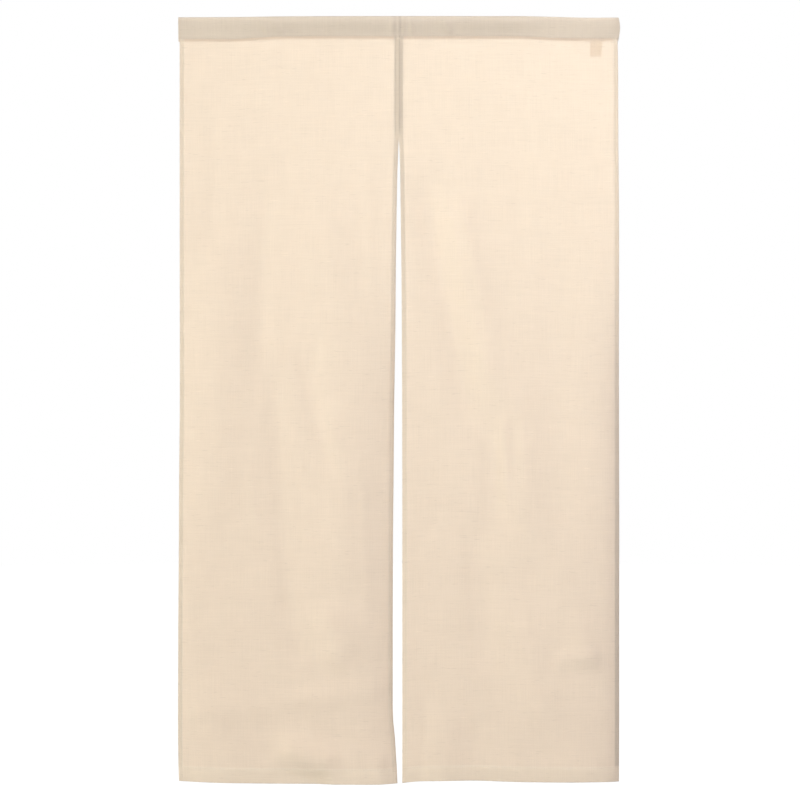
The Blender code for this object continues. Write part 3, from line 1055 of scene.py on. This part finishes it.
@dataclass
class Heading:
    """Half of the rod pocket: cloth that goes up the front, over and down the back, its edge turned under."""

    side: Side
    # How many places there are along the pocket and round its section, and where they crowd.
    columns: int = 200
    near_ends: float = 0.020
    closer_ends: float = 2.5
    side_turn_places: int = 7
    raw_end: tuple = (0.3, 0.6, 0.9, 0.97, 1.0)
    rise_rows: int = 26
    rise_mark: float = 0.12
    near_mark: float = 0.06
    closer_rise: float = 2.0
    turn_rows: int = 9
    under_rows: int = 7
    # The walls' distances from the middle at the foot, how far they reach below it, and the turned edge.
    front_foot: float = 0.000925
    back_foot: float = 0.0020
    front_lap: float = -0.0028
    back_lap: float = 0.0020
    turned_under: float = 0.009
    under_radius: float = 0.00075
    outside_step: float = 0.002
    waves_reach: float = 0.010
    weave_start: float = 1.3
    cloth_length: float = 0.106

    def __post_init__(self) -> None:
        """Sets out the cloth along the pocket, with a turned hem at both ends."""
        ends = {Side.LEFT: (POCKET_LEFT_END, -SEAM_EDGE), Side.RIGHT: (SEAM_EDGE, POCKET_RIGHT_END)}
        self.left, self.right = ends[self.side]
        self.length = self.right - self.left
        hem = end_hem(self.length, SIDE_HEM, SIDE_TURN, self.side_turn_places, self.raw_end)
        marks, far = (0.0, self.length), self.length - SIDE_TURN
        middle = spread(SIDE_TURN, far, self.columns, marks, self.near_ends, self.closer_ends)
        self.along = both_hems(self.length, middle[1:-1], hem)

    def rows(self, height: np.ndarray, half_depth: np.ndarray) -> tuple[np.ndarray, np.ndarray]:
        """The pocket's section at each place along it, as the cloth's middle.

        It rises straight to the stitch row, swells by a soft step up to the top's quarter circle, and comes
        down the back in the same way to a small half circle that turns its edge under.

        Args:
            height: how high the pocket is over its foot, for each column.
            half_depth: half of its depth, for each column.

        Returns:
            How far back and how far over the foot each row and column lies.
        """
        crown = half_depth - CLOTH / 2.0
        shoulder = height - half_depth
        rise = spread(0.0, 1.0, self.rise_rows, (self.rise_mark,), self.near_mark, self.closer_rise)[:, None]
        angle = np.linspace(0.0, np.pi / 2.0, self.turn_rows)[1:, None]

        def out(foot: float, level: np.ndarray) -> np.ndarray:
            """How far out a wall stands: from its foot's distance, by a soft step, to the crown's."""
            return foot + (crown - foot) * smooth((level - STITCH_ROW) / (shoulder - STITCH_ROW))

        laps = (self.front_lap, self.back_lap - self.under_radius)
        front_up, back_up = (-lap + (shoulder + lap) * rise for lap in laps)
        front_out, back_out = out(self.front_foot, front_up), out(self.back_foot, back_up)
        arc_out, arc_up = crown * np.cos(angle), shoulder + crown * np.sin(angle)
        _, past, inward = half_turn(self.under_radius, self.turn_rows)
        none = np.zeros_like(height)
        turn_up = back_up[0] - past[1:, None] + none
        turn_out = back_out[0] - inward[1:, None] + none
        under_up = back_up[0] + np.linspace(0.0, self.turned_under, self.under_rows)[1:, None] + none
        under_out = out(self.back_foot, under_up) - 2.0 * self.under_radius
        back = np.concatenate([-front_out, -arc_out, arc_out[-2::-1], back_out[::-1], turn_out, under_out])
        up = np.concatenate([front_up, arc_up, arc_up[-2::-1], back_up[::-1], turn_up, under_up])
        return back, up

    def wrinkles(self, x: np.ndarray, over_middle: np.ndarray) -> np.ndarray:
        """How far the face is pressed in: the sum of its puckers, each a bell curve across a slanting line.

        Args:
            x: places along the pocket.
            over_middle: heights over its middle.

        Returns:
            The sum at each place.
        """
        total = np.zeros_like(over_middle)
        for pucker in PUCKERS:
            total += pucker.depth * bell(x - pucker.along - pucker.slant * over_middle, pucker.half_width)
        return total

    def surface(self) -> tuple[np.ndarray, np.ndarray, np.ndarray]:
        """The pocket's middle surface, its flat places and its painted light and shade.

        The section is swept along the pocket, pressed in by the puckers and small waves, and the hems at its
        ends lie inside it, along the section's normal.

        Returns:
            The points, the flat places and the shades.
        """
        x = self.left + self.along.along
        foot, half_depth = heading_line("foot", x), heading_line("pocket_depth", x) / 2.0
        height = heading_line("top", x) - foot
        back, up = self.rows(height, half_depth)
        run_back, run_up = np.gradient(back, axis=0), np.gradient(up, axis=0)
        step = np.hypot(run_back, run_up)
        normal_back, normal_up = run_up / step, -run_back / step
        flat_down = np.concatenate([np.zeros((1, len(x))), np.cumsum((step[1:] + step[:-1]) / 2.0, axis=0)])
        face = np.sin(np.pi * np.clip(up / height, 0.0, 1.0))
        outside = np.sign(back) * smooth(np.abs(back) / self.outside_step)
        pressed = face * self.wrinkles(x, up - height / 2.0)
        pressed = pressed + ripple(x * POCKET_WAVES) * bell(up - STITCH_ROW, self.waves_reach) * (up > 0.0)
        layer = self.along.back
        y = back - outside * pressed + layer * normal_back
        z = foot + up + layer * normal_up
        bulge = RIGHT_END_BULGE * smooth(1.0 - (POCKET_RIGHT_END - x) / END_REACH) * face
        points = np.stack([x + bulge, y, z], axis=-1)
        flat = np.stack(np.broadcast_arrays(self.along.flat + self.weave_start, flat_down), axis=-1)
        from_seam = self.length - self.along.along if self.side is Side.LEFT else self.along.along
        # Painted highlights and shadows along the pocket, by distance from the seam.
        tone = shaded(HEADING_SHADES[self.side], from_seam)
        sewn = np.stack(np.broadcast_arrays(0.0 * up, tone), axis=-1)
        return points, flat, sewn

    def build(self, material: bpy.types.Material) -> bpy.types.Object:
        """The pocket's closed mesh.

        Args:
            material: the folded cloth's material.

        Returns:
            The half pocket.
        """
        points, flat, sewn = self.surface()
        piece = cloth_object(f"heading_{self.side.value}_cloth", points[::-1], flat[::-1], sewn[::-1], CLOTH)
        piece.data.materials.append(material)
        return piece

    def declare(self, piece: bpy.types.Object) -> None:
        """Hangs the half pocket on the root body and hides the solid that it replaces.

        Args:
            piece: the half pocket.
        """
        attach(piece, "root")
        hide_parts(f"heading_{self.side.value}")


@dataclass
class CareLabel:
    """A blank tape, folded in half and caught in the stitch row behind the right panel."""

    left: float = 0.371
    width: float = 0.023
    drop: float = 0.032
    shorter_behind: float = 0.0005
    thickness: float = 0.00018
    fold_radius: float = 0.00028
    behind: float = 0.00105
    bow: float = 0.0006
    columns: int = 12
    front_rows: int = 16
    turn_rows: int = 9
    back_rows: int = 14
    back_start: float = 0.05
    weave_start: float = 2.1

    def build(self, material: bpy.types.Material) -> bpy.types.Object:
        """The tape goes down in front, round a small half circle, and up again behind, with a slight bow.

        Args:
            material: the tape's material.

        Returns:
            The label.
        """
        shape = HangingShape(Side.RIGHT)
        rows_behind = tuple(np.linspace(self.back_start, 1.0, self.back_rows))
        length = self.drop - self.shorter_behind
        turned = end_hem(self.drop, length, self.fold_radius, self.turn_rows, rows_behind)
        front = np.linspace(0.0, self.drop - self.fold_radius, self.front_rows)[:-1]
        tape = joined(straight(front), turned)
        down = tape.along[:, None]
        across = np.linspace(0.0, self.width, self.columns)[None, :]
        x = self.left + across + 0.0 * down
        z = heading_line("foot", x) - GAP - down
        bow = self.bow * smooth(down / self.drop) * (1.0 - (2.0 * across / self.width - 1.0) ** 2)
        y = shape.back(x, z) + FRONT_FACE + self.behind + tape.back[:, None] + bow
        flat = np.stack(np.broadcast_arrays(across + self.weave_start, -tape.flat[:, None]), axis=-1)
        points = np.stack([x, y, z], axis=-1)
        piece = cloth_object("care_label_tape", points, flat, 0.0 * flat, self.thickness)
        piece.data.materials.append(material)
        return piece

    def declare(self, piece: bpy.types.Object) -> None:
        """Hangs the label on the root body and hides the solid that it replaces.

        Args:
            piece: the label.
        """
        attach(piece, "root")
        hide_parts("care_label")


@dataclass
class Stitching:
    """The rows of stitches of one half: on the pocket, the side hems, the bottom hem and the centre seam."""

    panel: Panel
    heading: Heading
    pitch: float = 0.0034
    stitch: float = 0.0027
    radius: float = 0.00014
    sides: int = 5
    # Each stitch's rings: how far along it they lie, and how many radii each rises out of the cloth.
    stations: tuple = (0.0, 0.12, 0.5, 0.88, 1.0)
    lifts: tuple = (-0.7, 0.35, 0.6, 0.35, -0.7)
    sharp_angle: float = 80.0
    # How far from the cloth's edges the rows start and end, and the stitches over the centre seam.
    from_ends: float = 0.001
    from_foot: float = 0.002
    under_heading: float = 0.004
    seam_reach: float = 0.0011
    seam_slant: float = 0.35

    def __post_init__(self) -> None:
        """Starts with no stitches."""
        self.lines: list[np.ndarray] = []
        self.faces: list[Face] = []

    def _spans(self, start: float, end: float) -> np.ndarray:
        """Places along each stitch of a row that runs between two ends, one row of the array a stitch."""
        first = np.arange(start, end - self.stitch, self.pitch)[:, None]
        return first + self.stitch * np.array(self.stations)

    def _add(self, points: np.ndarray, face: Face) -> None:
        """Keeps a row of stitches, and which face of the cloth it lies on."""
        self.lines.append(points)
        self.faces.append(face)

    def on_panel(self) -> None:
        """Rows along both side hems and the bottom hem, on both faces of the panel."""
        row_in = SIDE_HEM - FROM_HEM_EDGE
        row_up = PANEL_DROP - BOTTOM_HEM + FROM_HEM_EDGE
        # How many layers behind the front one each face's stitches lie, and how far down they go.
        rows = (
            (Face.FRONT, 0.0, PANEL_DROP - self.from_foot),
            (Face.BACK, 1.0, PANEL_DROP - BOTTOM_HEM - self.from_ends),
        )
        for face, back, end in rows:
            side_layer = -CLOTH / 2.0 + back * (CLOTH + 2.0 * SIDE_TURN)
            foot_layer = -CLOTH / 2.0 + back * (CLOTH + 2.0 * BOTTOM_TURN)
            down = self._spans(self.from_ends, end)
            for across in (row_in, PANEL_WIDTH - row_in):
                self._add(self.panel.surface(np.full_like(down, across), down, side_layer), face)
            across = self._spans(self.from_ends, PANEL_WIDTH - self.from_ends)
            self._add(self.panel.surface(across, np.full_like(across, row_up), foot_layer), face)

    def on_heading(self) -> None:
        """The row that closes the pocket, on its front and its back."""
        x = self._spans(self.heading.left + self.from_ends, self.heading.right - self.from_ends)
        z = heading_line("foot", x) + STITCH_ROW
        wave = ripple(x * POCKET_WAVES)
        front = -self.heading.front_foot - CLOTH / 2.0 + wave
        back = self.heading.back_foot + CLOTH / 2.0 - wave
        self._add(np.stack([x, front, z], axis=-1), Face.FRONT)
        self._add(np.stack([x, back, z], axis=-1), Face.BACK)

    def over_seam(self) -> None:
        """Small stitches that cross the centre seam at the back, from the heading down to the slit."""
        top = heading_line("foot", np.zeros(1))[0] - self.under_heading
        z = np.arange(JOINED_DOWN_TO + self.from_ends, top, self.pitch)[:, None]
        x = np.linspace(-self.seam_reach, self.seam_reach, len(self.stations))[None, :] + 0.0 * z
        y = self.panel.shape.back(x, z + 0.0 * x) + FRONT_FACE + CLOTH + 2.0 * SIDE_TURN
        self._add(np.stack([x, y, z + self.seam_slant * x], axis=-1), Face.BACK)

    def build(self, material: bpy.types.Material) -> bpy.types.Object:
        """All rows as one mesh: each stitch a tube that rises out of the cloth and dives back in.

        Each ring goes round the stitch's middle line, by the cosine of its angle aside and its sine outwards.

        Args:
            material: the thread's material.

        Returns:
            The stitches.
        """
        points = np.concatenate(self.lines)
        looks = np.concatenate([np.full(len(line), face.value) for line, face in zip(self.lines, self.faces)])
        count, stations = points.shape[:2]
        along = np.gradient(points, axis=1)
        along /= np.linalg.norm(along, axis=2, keepdims=True)
        out = np.zeros((count, 1, 3))
        out[:, 0, 1] = looks
        aside = np.cross(along, out)
        aside /= np.linalg.norm(aside, axis=2, keepdims=True)
        centre = points + self.radius * np.array(self.lifts)[None, :, None] * out
        angle = np.linspace(0.0, 2.0 * np.pi, self.sides + 1)[:-1]
        ring = centre[:, :, None, :] + self.radius * (
            np.cos(angle)[None, None, :, None] * aside[:, :, None, :]
            + np.sin(angle)[None, None, :, None] * (out + 0.0 * along)[:, :, None, :]
        )
        index = np.arange(count * stations * self.sides).reshape(count, stations, self.sides)
        near, far = index[:, :-1], index[:, 1:]
        quads = [near, far, np.roll(far, -1, axis=2), np.roll(near, -1, axis=2)]
        tube = np.stack(quads, axis=-1).reshape(-1, 4)
        faces = [tube, index[:, 0, :], index[:, -1, ::-1]]
        travel = np.linspace(0.0, self.stitch, stations)[None, :, None]
        flat = np.stack(np.broadcast_arrays(travel + 0.0 * ring[..., 0], angle[None, None, :]), axis=-1)
        name, sharp = f"stitches_{self.panel.side.value}", np.radians(self.sharp_angle)
        piece = mesh_object(name, ring.reshape(-1, 3), faces, flat.reshape(-1, 2), sharp)
        piece.data.materials.append(material)
        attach(piece, "root")
        return piece


@dataclass(frozen=True)
class SoftLight:
    """A large soft light, aimed at one point."""

    name: str
    place: tuple[float, float, float]
    target: tuple[float, float, float]
    size: tuple[float, float]
    power: float
    colour: tuple[float, float, float] = (1.0, 1.0, 1.0)

    def build(self) -> None:
        """Adds the light, unseen by the camera."""
        data = bpy.data.lights.new(self.name, "AREA")
        data.shape = "RECTANGLE"
        data.size, data.size_y = self.size
        data.energy = self.power
        data.color = self.colour
        light = bpy.data.objects.new(self.name, data)
        light.location = self.place
        aim = Vector(self.target) - Vector(self.place)
        light.rotation_euler = aim.to_track_quat("-Z", "Y").to_euler()
        light.visible_camera = False
        bpy.context.scene.collection.objects.link(light)


@dataclass
class Studio:
    """The pale floor, the soft lights and the camera."""

    white: tuple[float, float, float, float] = (1.0, 1.0, 1.0, 1.0)
    floor_height: float = -1.95
    floor_reach: float = 14.0
    floor_rings: int = 12
    floor_spokes: int = 48
    floor_tone: float = 0.30
    floor_roughness: float = 0.9
    floor_specular: float = 0.1
    floor_lift: float = 0.86
    sky: float = 0.712
    sky_slope: tuple[float, float, float] = (-0.145, -0.558, 0.0)
    sky_colour: tuple[float, float, float] = (0.825, 0.800, 0.775)
    camera_place: tuple[float, float, float] = (0.0024, -5.0, -0.745)
    lens: float = 116.0
    lights: tuple = (
        SoftLight("key light", (-4.2, -2.8, -0.6), (0.0, 0.0, -1.0), (2.0, 2.0), 134.0, (0.94, 1.00, 0.93)),
        SoftLight("fill light", (4.0, -4.4, 0.6), (0.0, 0.0, -0.3), (2.0, 2.0), 59.0, (1.12, 1.00, 0.90)),
        SoftLight("upper light", (2.1, -2.4, 0.5), (0.34, 0.0, -0.2), (0.9, 0.9), 28.0, (0.86, 1.00, 1.30)),
        SoftLight("crown light", (0.0, -0.2, 1.6), (0.0, 0.0, 0.0), (1.8, 0.3), 4.0, (0.90, 1.00, 1.12)),
        SoftLight("back light", (0.6, 1.6, 0.5), (0.2, 0.0, -0.1), (1.8, 1.0), 47.5, (0.94, 1.00, 0.98)),
    )

    def build(self) -> None:
        """Adds the floor, the sky, the lights and the camera."""
        self._floor()
        self._sky()
        for light in self.lights:
            light.build()
        data = bpy.data.cameras.new("camera")
        data.lens = self.lens
        camera = bpy.data.objects.new("camera", data)
        camera.location = self.camera_place
        camera.rotation_euler = (np.pi / 2.0, 0.0, 0.0)
        bpy.context.scene.collection.objects.link(camera)
        bpy.context.scene.camera = camera
        bpy.context.scene.view_settings.view_transform = "Standard"

    def _floor(self) -> None:
        """A round pale floor: rings of points whose radius grows by even steps."""
        rings, spokes = self.floor_rings, self.floor_spokes
        reach = np.linspace(0.0, self.floor_reach, rings + 1)[1:, None]
        turn = np.linspace(0.0, 2.0 * np.pi, spokes + 1)[None, :-1]
        places = np.broadcast_arrays(reach * np.cos(turn), reach * np.sin(turn), self.floor_height)
        circle = np.stack(places, axis=-1)
        points = np.concatenate([circle.reshape(-1, 3), [[0.0, 0.0, self.floor_height]]])
        index = np.arange(rings * spokes).reshape(rings, spokes)
        ahead = np.roll(index, -1, axis=1)
        quads = np.stack([index[:-1], index[1:], ahead[1:], ahead[:-1]], axis=-1).reshape(-1, 4)
        hub = np.stack([index[0], ahead[0], np.full(spokes, rings * spokes)], axis=-1)
        floor = mesh_object("floor", points, [quads, hub], points[:, :2], np.pi)
        material, wiring, shader = wired_material("pale floor")
        seen = wiring.add("LightPath", {}).outputs["Is Camera Ray"]
        surface = {
            "Base Color": (*(self.floor_tone,) * 3, 1.0),
            "Roughness": self.floor_roughness,
            "Specular IOR Level": self.floor_specular,
            "Emission Color": self.white,
            "Emission Strength": wiring.math("MULTIPLY", seen, self.floor_lift),
        }
        wiring.feed(shader, surface)
        floor.data.materials.append(material)

    def _sky(self) -> None:
        """A soft surround, brighter to the front and the left, that the camera sees as plain white."""
        world = bpy.data.worlds.new("white surround")
        world.use_nodes = True
        wiring, nodes = Wiring(world.node_tree), world.node_tree.nodes
        plain = nodes["Background"]
        wiring.feed(plain, {"Color": self.white})
        direction = wiring.add("TexCoord", {}).outputs["Generated"]
        slope = wiring.add("VectorMath", {0: direction, 1: self.sky_slope}, operation="DOT_PRODUCT")
        level = wiring.math("ADD", slope.outputs["Value"], self.sky)
        soft = wiring.add("Background", {"Color": (*self.sky_colour, 1.0), "Strength": level})
        seen = wiring.add("LightPath", {}).outputs["Is Camera Ray"]
        both = wiring.add("MixShader", {"Fac": seen, 1: soft.outputs[0], 2: plain.outputs[0]})
        wiring.feed(nodes["World Output"], {"Surface": both.outputs[0]})
        bpy.context.scene.world = world


DOUBLED = (0.848, 0.716, 0.586)
LINEN = ClothFinish("linen", (0.885, 0.715, 0.568), DOUBLED, (0.905, 0.905, 0.86), 0.42)
FOLDED_LINEN = ClothFinish("folded linen", (0.835, 0.708, 0.585), DOUBLED, (0.88, 0.89, 0.86), 0.42)
LABEL_TAPE = ClothFinish(
    "label tape",
    (0.94, 0.88, 0.79),
    (0.94, 0.88, 0.79),
    (0.97, 0.94, 0.89),
    0.80,
    roughness=0.6,
    threads=3200.0,
    unevenness=0.3,
    slubs=0.0,
    clouds=0.2,
)
THREAD = ThreadFinish("sewing thread", (0.80, 0.71, 0.60))


def main() -> None:
    """Builds the curtain's pieces and the studio, and reports each piece."""
    logging.basicConfig(level=logging.INFO, format="%(message)s")
    weave = Weave()
    linen, folded_linen = LINEN.material(weave), FOLDED_LINEN.material(weave)
    thread = THREAD.material()
    for side in Side:
        panel, heading = Panel(side), Heading(side)
        stitching = Stitching(panel, heading)
        stitching.on_panel()
        stitching.on_heading()
        if side is Side.LEFT:
            stitching.over_seam()
        sewn = stitching.build(thread)
        heading_piece = heading.build(folded_linen)
        heading.declare(heading_piece)
        panel_piece = panel.build(linen)
        panel.declare(panel_piece, sewn)
        for piece in (panel_piece, heading_piece, sewn):
            LOG.info("%s: %d faces", piece.name, len(piece.data.polygons))
    label = CareLabel()
    tape = label.build(LABEL_TAPE.material(weave))
    label.declare(tape)
    LOG.info("%s: %d faces", tape.name, len(tape.data.polygons))
    Studio().build()


if __name__ == "__main__":
    main()
